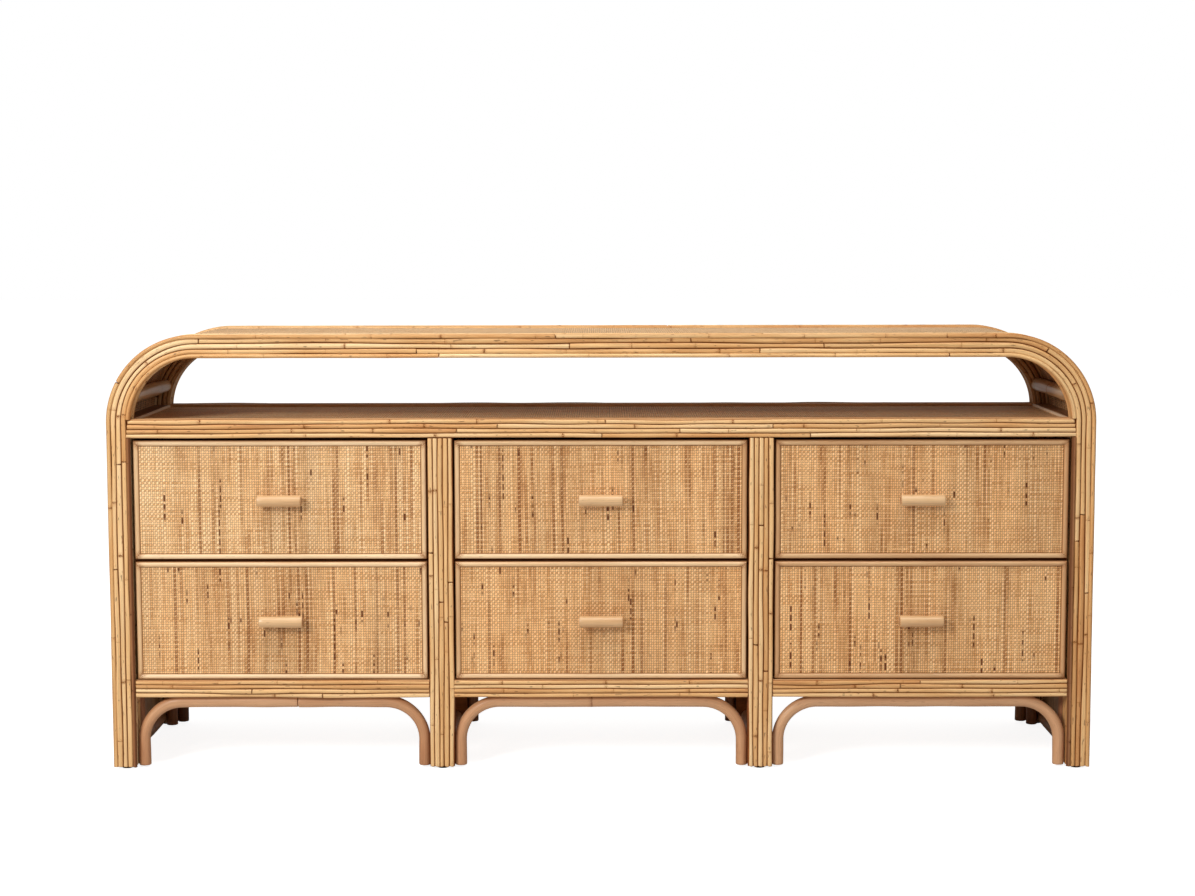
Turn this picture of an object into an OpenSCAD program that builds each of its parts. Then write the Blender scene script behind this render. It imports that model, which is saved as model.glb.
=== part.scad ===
// Six-drawer rattan dresser with a waterfall top and an open shelf compartment.
// Origin: on the floor, at the centre of the dresser's footprint, handles included.
// +X runs to the right of someone facing the drawers, +Y to the back, +Z up.

/* [Overall size] */
// Width over the bent frames
body_w = 1800; // [1500:10:2100]
// Height over the bent frames
body_h = 803; // [790:1:860]
// Depth from the front frame's face to the rear frame's face
body_d = 410; // [400:5:500]
// Outside radius of the two waterfall corners
corner_r = 162; // [140:1:180]

/* [Bent frames] */
// Side of the square bent pole inside each frame
pole_side = 30; // [30:1:32]
// Spacing of the split-cane strips on a frame's faces
strip_pitch = 9.6; // [9.2:0.1:9.6]
// Diameter of the thin round cane along a frame's four corners
corner_cane_d = 7.7; // [6:0.1:7.7]
// Gap between neighbouring strips
strip_gap = 0.2; // [0.2:0.1:0.6]

/* [Rails and posts] */
// Width of a centre post
post_w = 45; // [40:1:50]
// Height of the rail under the open compartment
shelf_rail_h = 33.5; // [30:0.5:38]
// Height of the rail under the bottom drawers
bottom_rail_h = 32; // [28:1:36]
// Floor to the underside of the bottom rail
under_rail_z = 134.5; // [120:0.5:150]

/* [Drawers] */
// Height of a drawer front
drawer_h = 218; // [210:1:220]
// Gap between the two rows of drawer fronts
row_gap = 5; // [4:0.5:6]
// Gap between a bottom drawer's front and the rail below it
rail_gap = 1.5; // [1:0.5:4]
// Gap between a top drawer's front and the rail above it
top_gap = 5.5; // [2:0.5:6]
// Gap between a drawer front and the post beside it
side_gap = 3.1; // [2:0.1:5]
// Distance from the frame's face back to the top of a drawer's moulding
front_recess = 8; // [6:1:10]
// Thickness of a drawer's front board
front_t = 15; // [12:1:15]
// Width of the half-round moulding around a drawer front
moulding_w = 10; // [8:1:14]
// Height of a drawer's box
box_h = 185; // [120:5:185]
// Length of a drawer's box, front to back
box_l = 330; // [250:5:330]
// Thickness of the box's sides and back
box_t = 12; // [9:1:15]
// Thickness of the box's bottom
box_bottom_t = 6; // [4:1:8]
// Gap between a drawer box and the face of the post beside it
box_side_gap = 13; // [12:0.5:16]

/* [Handles] */
// Diameter of the handle pole
handle_d = 21; // [18:0.5:24]
// Length of the handle pole
handle_l = 81; // [70:1:120]
// Gap between the handle pole and the drawer front
handle_standoff = 6; // [4.5:0.5:8]
// Distance between a handle's two screws
screw_spacing = 48; // [40:1:50]
// Diameter of a handle screw
screw_d = 4; // [3:0.5:5]

/* [Braces, poles and feet] */
// Diameter of a bent leg brace
brace_d = 21.5; // [18:0.5:24]
// Radius of a leg brace's bends, to the middle of the pole
brace_bend_r = 72; // [50:1:80]
// Diameter of a floor stretcher
stretcher_d = 25; // [20:0.5:25]
// Diameter of a short corner pole
corner_pole_d = 22; // [18:0.5:22]
// Diameter of the pole along each end of the compartment
side_pole_d = 26; // [18:0.5:26]
// Diameter of a glide
glide_d = 20; // [16:1:30]
// Thickness of a glide
glide_h = 4.5; // [2:0.5:5]

/* [Boards and matting] */
// Thickness of the end boards, bent corners and top board
shell_t = 6; // [5:0.5:6]
// Thickness of the woven matting on the shell
matting_t = 1.5; // [1:0.1:1.5]
// How far the shell's matting lies below the frames' outer faces
shell_inset = 4; // [3:0.5:5]
// Thickness of the shelf board
shelf_t = 15; // [12:1:18]
// Depth of the shelf's woven surface below the rail's top
shelf_recess = 5; // [4:0.5:8]
// Thickness of the bottom board
bottom_t = 12; // [9:1:15]
// Thickness of a partition between two bays
partition_t = 18; // [12:1:20]
// Thickness of a back panel
back_t = 8; // [6:1:10]

/* [Hidden] */
$fn = 64;
cut = 1;                 // how far a cutting solid runs past what it cuts
touch = 0.2;             // gap between neighbours that only lie against each other
glue_gap = 0.1;          // gap between pieces of one node that are glued or screwed together

// A frame's section: the pole, three strips on each face and a cane at each corner.
strips_per_face = 3;
strip_r = (strip_pitch - strip_gap) / 2;
cane_offset = corner_cane_d / 2 / sqrt(2) + 0.03;
pole_cover = cane_offset + corner_cane_d / 2;
frame_w = pole_side + 2 * pole_cover;

// Front to back. The handles stand proud of the frames, and they count in the centring.
panel_y = front_recess + moulding_w / 2;          // frame face to the drawer's front board
drawer_mat_t = 2;
handle_back = panel_y - drawer_mat_t - handle_standoff;
handle_proud = handle_d - handle_back;
total_d = body_d + handle_proud;
front_y = handle_proud - total_d / 2;             // face of the front frame
rear_y = total_d / 2;                             // face of the rear frame
inner_front_y = front_y + frame_w;
inner_rear_y = rear_y - frame_w;
inner_d = inner_rear_y - inner_front_y;
mid_y = (front_y + rear_y) / 2;

// Across: three equal bays between the end frames and two centre posts.
leg_x = (body_w - frame_w) / 2;
leg_inner_x = body_w / 2 - frame_w;
bay_w = (2 * leg_inner_x - 2 * post_w) / 3;
bay_pitch = bay_w + post_w;
post_x = bay_pitch / 2;
drawer_w = bay_w - 2 * side_gap;
box_w = bay_w - 2 * box_side_gap;

// Up: the bottom rail, two rows of drawers, the shelf rail and the open compartment.
row_z = [under_rail_z + bottom_rail_h + rail_gap,
         under_rail_z + bottom_rail_h + rail_gap + drawer_h + row_gap];
shelf_rail_z = row_z[1] + drawer_h + top_gap;
shelf_rail_top = shelf_rail_z + shelf_rail_h;
shelf_top = shelf_rail_top - shelf_recess;
shelf_mat_t = 2;
bottom_z = under_rail_z + bottom_rail_h - 4.5 - bottom_t;

// The shell between the frames, as offsets from the middle of a frame's pole.
shell_out = frame_w / 2 - shell_inset;
board_out = shell_out - matting_t;
board_in = board_out - shell_t;
lining_in = board_in - matting_t;
frame_bend_r = corner_r - frame_w / 2;
frame_top_z = body_h - frame_w / 2;
bend_z = body_h - corner_r;
wall_x = leg_x + board_in;                        // inner face of an end board

// Runners: an L-shaped rail with a stop at its rear end.
ledge_h = 14;
ledge_under_box = box_t - 1;
guide_h = 22;
guide_clear = 1;
box_lift = 12.4;                                  // drawer front's lower edge to the box's lower edge
ledge_clear = 0.4;
stop_clear = 0.5;
partition_face = partition_t / 2;

brace_setback = 23;                               // frame face to the middle of a leg brace
stretcher_z = glide_h + 1 + stretcher_d / 2;
end_stretcher_x = body_w / 2 - 1.5 - stretcher_d / 2;
shell_foot_z = stretcher_z + stretcher_d / 2 + touch;
corner_pole_x = end_stretcher_x - stretcher_d / 2 - 0.5 - corner_pole_d / 2;
side_pole_x = leg_x - 13.5;
side_pole_z = bend_z + 45;
trim_board_w = 26;
trim_bead_w = 6;
trim_x = leg_x + lining_in - touch - trim_board_w;   // inner edge of a shelf trim board

rows = ["bottom", "top"];
cols = ["left", "middle", "right"];
drawer_pieces = ["front_board", "front_matting", "front_moulding", "handle", "box"];

cane = [0.84, 0.67, 0.43];
cane_dark = [0.74, 0.56, 0.34];
peeled = [0.74, 0.53, 0.39];
pale_moulding = [0.90, 0.76, 0.60];
matting = [0.83, 0.68, 0.47];
board = [0.78, 0.62, 0.43];
black = [0.08, 0.08, 0.08];

// ---- shared shapes ----

// Repeats its children at the rear, mirrored front to back.
module at_rear() translate([0, 2 * mid_y, 0]) mirror([0, 1, 0]) children();

// Repeats its children on the left, mirrored from the right.
module both_ends() { children(); mirror([1, 0, 0]) children(); }

// Places its children at the middle of each of the three bays.
module each_bay() for (i = [-1 : 1]) translate([i * bay_pitch, 0, 0]) children();

// A half disc standing on the X axis.
module half_round(r) difference() {
    circle(r);
    translate([-r - cut, -2 * r - cut]) square([2 * (r + cut), 2 * r + cut]);
}

// One quarter turn of a profile about the Y axis, from the +X side up to the top.
module quarter_bend(bend_r)
    rotate([-90, 0, 0]) rotate([0, 0, -90]) rotate_extrude(angle = 90) translate([bend_r, 0]) children();

// The straight top of an arch, between its two bends.
module arch_top(half_w, top_z, bend_r)
    translate([half_w - bend_r, 0, top_z]) rotate([0, -90, 0])
        linear_extrude(2 * (half_w - bend_r)) children();

// Sweeps a profile round an upturned U. The profile's x points out of the U and its y to the back.
module arch(half_w, top_z, bend_r, foot_z) {
    arch_top(half_w, top_z, bend_r) children();
    both_ends() {
        translate([half_w - bend_r, 0, top_z - bend_r]) quarter_bend(bend_r) children();
        translate([half_w, 0, foot_z]) linear_extrude(top_z - bend_r - foot_z) children();
    }
}

// Sweeps a profile round the whole outline of a bent frame.
module frame_sweep(foot_z = glide_h) arch(leg_x, frame_top_z, frame_bend_r, foot_z) children();

// A rod between two heights.
module upright(x, y, d, z0, z1) translate([x, y, z0]) cylinder(d = d, h = z1 - z0);

// A rod that runs from the front to the back.
module front_to_back(x, z, d, y0, y1) translate([x, y1, z]) rotate([90, 0, 0]) cylinder(d = d, h = y1 - y0);

// A box given by its lowest and highest corners.
module span(lo, hi) translate(lo) cube([for (i = [0 : 2]) hi[i] - lo[i]]);

// ---- bent frames ----

module arch_pole() translate([0, front_y + frame_w / 2, 0]) frame_sweep() square(pole_side, center = true);

module arch_strips() translate([0, front_y + frame_w / 2, 0]) for (face = [0 : 3]) {
    for (i = [0 : strips_per_face - 1])
        frame_sweep() rotate(90 * face)
            translate([(i - (strips_per_face - 1) / 2) * strip_pitch, pole_side / 2]) half_round(strip_r);
    frame_sweep() rotate(90 * face)
        translate([pole_side / 2 + cane_offset, pole_side / 2 + cane_offset]) circle(d = corner_cane_d);
}

// ---- shell: end boards, bent corners, top board and matting ----

module shell_profile(inner, outer) translate([inner, -inner_d / 2]) square([outer - inner, inner_d]);

module side_board()
    span([wall_x, inner_front_y, shell_foot_z], [wall_x + shell_t, inner_rear_y, bend_z]);

module bent_corner_boards() color(board) both_ends()
    translate([leg_x - frame_bend_r, mid_y, bend_z])
        quarter_bend(frame_bend_r) shell_profile(board_in, board_out);

module top_board() color(board) translate([0, mid_y, 0])
    arch_top(leg_x, frame_top_z, frame_bend_r) shell_profile(board_in, board_out);

module outer_matting() color(matting) translate([0, mid_y, 0])
    frame_sweep(shell_foot_z) shell_profile(board_out, shell_out);

// The compartment's lining ends where the shelf's woven surface lies against the shelf board.
lining_foot = shelf_top - shelf_mat_t;
module compartment_matting() color(matting) difference() {
    translate([0, mid_y, 0])
        frame_sweep(min(lining_foot, bend_z) - 2 * cut) shell_profile(lining_in, board_in);
    span([-body_w / 2, inner_front_y - cut, min(lining_foot, bend_z) - 3 * cut],
         [body_w / 2, inner_rear_y + cut, lining_foot]);
}

// ---- shelf ----

module shelf_board() color(board)
    span([-wall_x + touch, inner_front_y + touch, shelf_top - shelf_mat_t - shelf_t],
         [wall_x - touch, inner_rear_y - touch, shelf_top - shelf_mat_t]);

module shelf_matting() color(matting)
    span([-trim_x + trim_bead_w + touch, inner_front_y + touch, shelf_top - shelf_mat_t],
         [trim_x - trim_bead_w - touch, inner_rear_y - touch, shelf_top]);

// A flat trim board along each end wall, edged with a thin bead.
module shelf_edge_trims() color(pale_moulding) both_ends() {
    bead_r = trim_bead_w / 2;
    trim_h = shelf_rail_top - 0.5 - (shelf_top - shelf_mat_t);
    span([trim_x, inner_front_y + touch, shelf_top - shelf_mat_t],
         [trim_x + trim_board_w, inner_rear_y - touch, shelf_rail_top - 0.5]);
    translate([trim_x - touch - bead_r, inner_rear_y - touch, shelf_top - shelf_mat_t]) rotate([90, 0, 0])
        linear_extrude(inner_d - 2 * touch) {
            translate([-bead_r + 0.1, 0]) square([2 * bead_r - 0.2, trim_h - bead_r]);
            translate([0, trim_h - bead_r]) circle(bead_r - 0.1);
        }
}

// ---- rails and posts ----

module shelf_rail() span([-leg_inner_x + 2 * touch, front_y + pole_cover, shelf_rail_z],
                         [leg_inner_x - 2 * touch, inner_front_y, shelf_rail_top]);

module bottom_rail() each_bay() span([-bay_w / 2, front_y + pole_cover, under_rail_z],
                                     [bay_w / 2, inner_front_y, under_rail_z + bottom_rail_h]);

// Half-round strips laid along X, one above another, on a rail's face.
module strips_along(length, height, count) {
    pitch = height / count;
    for (i = [0 : count - 1])
        translate([-length / 2, front_y + pole_cover, (i + 0.5) * pitch]) rotate([0, 90, 0])
            linear_extrude(length) rotate(180) half_round((pitch - strip_gap) / 2);
}

module frame_rail_strips() {
    translate([0, 0, shelf_rail_z]) strips_along(2 * leg_inner_x - 4 * touch, shelf_rail_h, 4);
    each_bay() translate([0, 0, under_rail_z]) strips_along(bay_w - 2 * touch, bottom_rail_h, 4);
}

module rail_strips() color(cane) { frame_rail_strips(); at_rear() frame_rail_strips(); }

module post() span([post_x - post_w / 2, front_y + pole_cover, glide_h],
                   [post_x + post_w / 2, inner_front_y, shelf_rail_z]);

module post_face_strips() {
    count = 5;
    pitch = post_w / count;
    for (i = [0 : count - 1])
        translate([post_x + (i - (count - 1) / 2) * pitch, front_y + pole_cover, glide_h])
            linear_extrude(shelf_rail_z - glide_h - touch) rotate(180) half_round((pitch - strip_gap) / 2);
}

module centre_posts() color(cane_dark) both_ends() { post(); at_rear() post(); }
module post_strips() color(cane) both_ends() { post_face_strips(); at_rear() post_face_strips(); }

// ---- inside the carcass ----

module partitions() color(board) both_ends()
    span([post_x - partition_face, inner_front_y + touch, bottom_z + bottom_t],
         [post_x + partition_face, inner_rear_y - touch, shelf_top - shelf_mat_t - shelf_t]);

module bottom_board() color(board)
    span([-wall_x + touch, inner_front_y + touch, bottom_z],
         [wall_x - touch, inner_rear_y - touch, bottom_z + bottom_t]);

// The back panels lie between the rear posts and rails, behind the drawers.
back_face_y = rear_y - 20;
module back_sheet(y0, y1) each_bay()
    span([-bay_w / 2 + touch, y0, under_rail_z + bottom_rail_h + touch],
         [bay_w / 2 - touch, y1, shelf_rail_z - touch]);

module back_panels() color(board) back_sheet(back_face_y - back_t, back_face_y);
module back_matting() color(matting) back_sheet(back_face_y, back_face_y + drawer_mat_t);

// A rail behind the gap between the two rows of drawers.
module drawer_dividers() color(board) each_bay()
    span([-bay_w / 2 + touch, front_y + panel_y + front_t + 1, row_z[1] - 12],
         [bay_w / 2 - touch, inner_front_y, row_z[1] + box_lift - 2.4]);

// One runner: to_wall is the distance from the drawer box's side to the wall that carries it.
module runner(to_wall) {
    top = box_lift - ledge_clear;
    stop_y = front_y + panel_y + front_t + box_l + stop_clear;
    rear = inner_rear_y - touch;
    span([box_w / 2 - ledge_under_box, inner_front_y + touch, top - ledge_h],
         [box_w / 2 + to_wall, rear, top]);
    span([box_w / 2 + guide_clear, inner_front_y + touch, top], [box_w / 2 + to_wall, rear, top + guide_h]);
    span([box_w / 2 - ledge_under_box, stop_y, top], [box_w / 2 + guide_clear, rear, top + guide_h]);
}

module drawer_runners() color(board) for (z = row_z) translate([0, 0, z]) {
    to_partition = bay_w / 2 + post_w / 2 - partition_face - box_w / 2 - touch;
    to_end = wall_x - bay_pitch - box_w / 2 - touch;
    both_ends() {
        runner(to_partition);
        translate([bay_pitch, 0, 0]) { runner(to_end); mirror([1, 0, 0]) runner(to_partition); }
    }
}

// ---- leg braces, poles and feet ----

// A pole bent into an upturned U. Each half is turned from the other, because a pole has no front or back.
module bent_pole(half_w, top_z, bend_r, foot_z, d) {
    arch_top(half_w, top_z, bend_r) circle(d = d);
    for (turn = [0, 180]) rotate([0, 0, turn]) {
        translate([half_w - bend_r, 0, top_z - bend_r]) quarter_bend(bend_r) circle(d = d);
        upright(half_w, 0, d, foot_z, top_z - bend_r);
    }
}

module leg_braces(y) color(peeled) each_bay() translate([0, y, 0])
    bent_pole(bay_w / 2 - brace_d / 2 - touch, under_rail_z - brace_d / 2 - touch,
              brace_bend_r, glide_h, brace_d);

module floor_stretchers() color(peeled) both_ends() for (x = [post_x, end_stretcher_x])
    front_to_back(x, stretcher_z, stretcher_d, inner_front_y, inner_rear_y);

module corner_poles() color(peeled) both_ends()
    for (y = [inner_front_y + touch + corner_pole_d / 2, inner_rear_y - touch - corner_pole_d / 2])
        upright(corner_pole_x, y, corner_pole_d, glide_h, bottom_z);

module compartment_side_poles() color(peeled) both_ends()
    front_to_back(side_pole_x, side_pole_z, side_pole_d, inner_front_y, inner_rear_y);

module foot_glides() color(black) both_ends()
    for (x = [post_x, leg_x], y = [front_y + frame_w / 2, rear_y - frame_w / 2])
        upright(x, y, glide_d, 0, glide_h);

// ---- drawers ----
// Each drawer is drawn with its front's lower edge at z = 0 and its middle at x = 0.

module screw_holes(d, y0, y1) for (x = [-screw_spacing / 2, screw_spacing / 2])
    front_to_back(x, drawer_h / 2, d, y0, y1);

module front_board() color(board) difference() {
    span([-drawer_w / 2, front_y + panel_y, 0], [drawer_w / 2, front_y + panel_y + front_t, drawer_h]);
    screw_holes(screw_d + 0.3, front_y, front_y + panel_y + front_t + cut);
}

module front_matting() color(matting) difference() {
    inset = moulding_w + touch;
    span([-drawer_w / 2 + inset, front_y + panel_y - drawer_mat_t, inset],
         [drawer_w / 2 - inset, front_y + panel_y, drawer_h - inset]);
    screw_holes(screw_d + 0.3, front_y, front_y + panel_y + cut);
}

// One mitred half-round bar along X, centred, with its outer edge at z = 0.
module moulding_bar(length) intersection() {
    translate([-length / 2, front_y + panel_y, moulding_w / 2]) rotate([0, 90, 0])
        linear_extrude(length) rotate(180) half_round(moulding_w / 2);
    translate([0, front_y + panel_y + cut, 0]) rotate([90, 0, 0]) linear_extrude(moulding_w)
        polygon([[-length / 2 + 0.1, 0], [length / 2 - 0.1, 0],
                 [length / 2 - moulding_w - 0.1, moulding_w], [-length / 2 + moulding_w + 0.1, moulding_w]]);
}

module front_moulding() color(pale_moulding) {
    moulding_bar(drawer_w);
    translate([0, 0, drawer_h]) mirror([0, 0, 1]) moulding_bar(drawer_w);
    both_ends() translate([drawer_w / 2, 0, drawer_h / 2]) rotate([0, -90, 0]) moulding_bar(drawer_h);
}

// A pole on two short spacers, each held by a screw from inside the drawer.
handle_mat_y = front_y + panel_y - drawer_mat_t;
handle_axis_y = handle_mat_y - handle_standoff - handle_d / 2;
screw_tip_y = handle_axis_y - 4;
spacer_d = 12;
screw_head_d = 8;
screw_head_h = 2.5;

module handle_pole(d) translate([-handle_l / 2, handle_axis_y, drawer_h / 2]) rotate([0, 90, 0])
    cylinder(d = d, h = handle_l);

module handle() color(peeled) {
    board_back_y = front_y + panel_y + front_t;
    difference() {
        handle_pole(handle_d);
        screw_holes(screw_d + glue_gap, screw_tip_y - glue_gap, handle_mat_y);
    }
    difference() {
        screw_holes(spacer_d, handle_axis_y, handle_mat_y);
        handle_pole(handle_d + 2 * glue_gap);
        screw_holes(screw_d + 0.3, screw_tip_y, handle_mat_y + cut);
    }
    screw_holes(screw_d, screw_tip_y, board_back_y);
    screw_holes(screw_head_d, board_back_y, board_back_y + screw_head_h);
}

module box() color(board) {
    y0 = front_y + panel_y + front_t;
    y1 = y0 + box_l;
    z0 = box_lift;
    inner_x = box_w / 2 - box_t - glue_gap;
    bottom_lift = 8;
    both_ends() span([box_w / 2 - box_t, y0, z0], [box_w / 2, y1, z0 + box_h]);
    span([-inner_x, y1 - box_t, z0], [inner_x, y1, z0 + box_h]);
    span([-inner_x, y0, z0 + bottom_lift], [inner_x, y1 - box_t - glue_gap, z0 + bottom_lift + box_bottom_t]);
}

// ---- the assembly ----

color(cane_dark) arch_pole();  // front_arch_pole
color(cane_dark) at_rear() arch_pole();  // rear_arch_pole
color(cane) arch_strips();  // front_arch_strips
color(cane) at_rear() arch_strips();  // rear_arch_strips
color(board) mirror([1, 0, 0]) side_board();  // left_side_board
color(board) side_board();  // right_side_board
bent_corner_boards();
top_board();
outer_matting();
compartment_matting();
shelf_board();
shelf_matting();
shelf_edge_trims();
color(cane_dark) { shelf_rail(); bottom_rail(); }  // front_rails
color(cane_dark) at_rear() { shelf_rail(); bottom_rail(); }  // rear_rails
rail_strips();
centre_posts();
post_strips();
partitions();
bottom_board();
back_panels();
back_matting();
drawer_dividers();
drawer_runners();
leg_braces(front_y + brace_setback);  // front_leg_braces
leg_braces(rear_y - brace_setback);  // rear_leg_braces
floor_stretchers();
corner_poles();
compartment_side_poles();
foot_glides();

for (row = [0 : 1], col = [0 : 2]) translate([(col - 1) * bay_pitch, 0, row_z[row]]) {
    drawer = str("drawer_", rows[row], "_", cols[col], "_");
    front_board();
    front_matting();
    front_moulding();
    handle();
    box();
}
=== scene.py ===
import math
from math import pi

import bpy
import numpy as np
from numpy.random import default_rng
from mathutils import Matrix, Vector


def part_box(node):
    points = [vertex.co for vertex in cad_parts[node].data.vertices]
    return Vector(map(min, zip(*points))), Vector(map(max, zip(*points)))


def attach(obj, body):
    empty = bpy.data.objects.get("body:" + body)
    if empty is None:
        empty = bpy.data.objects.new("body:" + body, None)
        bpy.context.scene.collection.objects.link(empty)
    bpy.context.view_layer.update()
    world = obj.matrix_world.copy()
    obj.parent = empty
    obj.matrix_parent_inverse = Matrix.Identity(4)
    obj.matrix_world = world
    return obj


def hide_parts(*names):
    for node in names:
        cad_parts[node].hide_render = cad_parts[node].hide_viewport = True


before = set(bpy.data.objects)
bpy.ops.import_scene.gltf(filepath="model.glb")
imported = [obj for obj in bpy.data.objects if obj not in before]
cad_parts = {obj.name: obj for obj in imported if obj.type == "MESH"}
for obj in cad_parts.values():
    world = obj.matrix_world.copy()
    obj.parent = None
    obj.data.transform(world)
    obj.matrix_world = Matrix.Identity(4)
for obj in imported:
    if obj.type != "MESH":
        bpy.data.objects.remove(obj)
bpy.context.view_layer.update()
rng = default_rng(1187)
MM = 0.001

# --- Sizes that the CAD nodes give, and the ones of part.scad that a box can't give (metres) ---


def span(node):
    lo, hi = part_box(node)
    return [float(v) for v in lo], [float(v) for v in hi]


POLE_SIDE = 30 * MM
STRIP_PITCH = 9.6 * MM
STRIP_R = 4.7 * MM
HALF_GAP = 0.1 * MM  # half the gap between neighbouring strips
END_GAP = 0.2 * MM  # between the end of a piece and what it meets
CANE_D = 7.7 * MM
CANE_OFF = CANE_D / 2 / math.sqrt(2) + 0.03 * MM
COVER = CANE_OFF + CANE_D / 2
FRAME_W = POLE_SIDE + 2 * COVER
GLIDE_H = 4.5 * MM
MOULD_W = 10 * MM
BRACE_D, BRACE_R = 21.5 * MM, 72 * MM
BRACE_SETBACK = 23 * MM
STRETCHER_R = 12.5 * MM
CORNER_POLE_R = 11 * MM
HANDLE_L, HANDLE_D = 81 * MM, 21 * MM
SCREW_FROM_MIDDLE = 24 * MM

strips_lo, strips_hi = span("front_arch_strips")
FRONT_Y = strips_lo[1]
REAR_Y = span("rear_arch_strips")[1][1]
HALF_W = strips_hi[0]
TOP_Z = strips_hi[2]
CORNER_R = 162 * MM
LEG_X = HALF_W - FRAME_W / 2
ARCH_TOP = TOP_Z - FRAME_W / 2
BEND_R = CORNER_R - FRAME_W / 2
LEG_IN = HALF_W - FRAME_W
IN_FRONT = FRONT_Y + FRAME_W
IN_REAR = REAR_Y - FRAME_W
rail_lo, rail_hi = span("front_rails")
UNDER_RAIL, RAIL_TOP = rail_lo[2], rail_hi[2]
post_hi = span("centre_posts")[1]
RAIL_Z = post_hi[2]
POST_W = 45 * MM
POST_X = post_hi[0] - POST_W / 2
PITCH = 2 * POST_X
BAY_W = PITCH - POST_W
BOTTOM_RAIL_H = 32 * MM
BAYS = (-1, 0, 1)
ROWS = ("bottom", "top")
COLS = ("left", "middle", "right")

# --- Meshes are gathered as arrays, with the attributes that the materials read ---
#   grain  place round and along a piece, in metres, with a seed as its third number
#   tint   how light a length of cane is, or how yellow a sheet of matting is
#   mark   1 at a node's scar or a cut end, 0 elsewhere
#   groove  painted shade: 1 in the grooves beside a strip and at a cane's or bar's edges, 0 on its crown
#   weave  strand numbers across and along a sheet of matting, with a seed

ATTRIBUTES = (("grain", 3), ("tint", 1), ("mark", 1), ("groove", 1), ("weave", 3))


def link(name, data):
    o = bpy.data.objects.new(name, data)
    bpy.context.scene.collection.objects.link(o)
    return o


class Shape:
    def __init__(self):
        self.co, self.faces, self.slots = [], [], []
        self.data = {name: [] for name, _ in ATTRIBUTES}
        self.count = 0

    def add(self, co, faces, slot=0, **data):
        co = np.asarray(co, float).reshape(-1, 3)
        n = len(co)
        self.co.append(co)
        for name, width in ATTRIBUTES:
            value = np.asarray(data.get(name, 0.0), float)
            self.data[name].append(value.reshape(n, width) if value.ndim else np.full((n, width), value))
        for f in faces:
            f = np.asarray(f, int) + self.count
            self.faces.append(f)
            self.slots.append(np.full(len(f), slot, int))
        self.count += n

    def build(self, name, materials, node, slot, body="cabinet", smooth_angle=42.0):
        """Makes the object, which rides on the body and stands for the CAD node."""
        mesh = bpy.data.meshes.new(name)
        co = np.concatenate(self.co)
        loops = np.concatenate([f.ravel() for f in self.faces])
        sizes = np.concatenate([np.full(len(f), f.shape[1]) for f in self.faces])
        starts = np.concatenate([[0], np.cumsum(sizes)[:-1]])
        slots = np.concatenate(self.slots)
        mesh.vertices.add(len(co))
        mesh.vertices.foreach_set("co", co.astype(np.float32).ravel())
        mesh.loops.add(len(loops))
        mesh.loops.foreach_set("vertex_index", loops.astype(np.int32))
        mesh.polygons.add(len(sizes))
        mesh.polygons.foreach_set("loop_start", starts.astype(np.int32))
        mesh.polygons.foreach_set("material_index", slots.astype(np.int32))
        mesh.update(calc_edges=True)
        for attribute, width in ATTRIBUTES:
            values = np.concatenate(self.data[attribute])
            if not values.any():
                continue
            kind, field = ("FLOAT_VECTOR", "vector") if width == 3 else ("FLOAT", "value")
            layer = mesh.attributes.new(attribute, kind, "POINT")
            layer.data.foreach_set(field, values.astype(np.float32).ravel())
        for material in materials:
            mesh.materials.append(material)
        mesh.polygons.foreach_set("use_smooth", np.ones(len(sizes), bool))
        mesh.set_sharp_from_angle(angle=math.radians(smooth_angle))
        o = link(name, mesh)
        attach(o, body)
        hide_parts(node)


def grid_faces(rows, cols, wrap=False):
    """Quads of a grid of vertices, row after row. wrap joins the last column to the first."""
    r = np.arange(rows - 1)[:, None]
    c = np.arange(cols if wrap else cols - 1)[None]
    d = (c + 1) % cols
    a, b = r * cols + c, r * cols + d
    return np.stack([a, b, b + cols, a + cols], -1).reshape(-1, 4)


def swept_faces(rows, cols, closed, inside_out=False):
    """Faces of a section swept along a path, and its two ends. An open section gets a flat side."""
    c = np.arange(cols)
    faces = [grid_faces(rows, cols, closed)]
    if not closed:
        r = np.arange(rows - 1) * cols
        faces.append(np.stack([r, r + cols, r + 2 * cols - 1, r + cols - 1], -1))
    faces += [c[None, ::-1], c[None] + (rows - 1) * cols]
    return [f[:, ::-1] for f in faces] if inside_out else faces


# --- Paths: for lengths s along one, its at() gives centres and the directions of a section's two axes ---


class ArchPath:
    """An upturned U in a plane of constant y. A section's first axis points out of it, its second back."""

    def __init__(self, half_w, top_z, bend_r, foot_z, y, x0=0.0):
        self.half_w, self.top_z, self.r = half_w, top_z, bend_r
        self.foot, self.y, self.x0 = foot_z, y, x0
        self.leg = top_z - bend_r - foot_z
        self.arc = bend_r * pi / 2
        self.flat = 2 * (half_w - bend_r)
        self.length = 2 * self.leg + 2 * self.arc + self.flat
        bent = self.leg + self.arc
        self.bends = ((self.leg, bent), (bent + self.flat, self.length - self.leg))

    def at(self, s):
        s = np.asarray(s, float)
        n = len(s)
        left_of_middle = s <= self.length / 2
        m = np.where(left_of_middle, s, self.length - s)  # measured up from the nearer foot
        sign = np.where(left_of_middle, -1.0, 1.0)
        on_top = m >= self.leg + self.arc
        a = np.clip((m - self.leg) / self.r, 0, pi / 2)
        straight = self.half_w - self.r
        x = np.where(on_top, straight - (m - self.leg - self.arc), straight + self.r * np.cos(a))
        z = np.where(m > self.leg, self.top_z - self.r + self.r * np.sin(a), self.foot + m)
        centre = np.stack([self.x0 + sign * x, np.full(n, self.y), z], -1)
        out = np.stack([sign * np.cos(a), np.zeros(n), np.sin(a)], -1)
        back = np.tile([0.0, 1.0, 0.0], (n, 1))
        return centre, out, back


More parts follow.
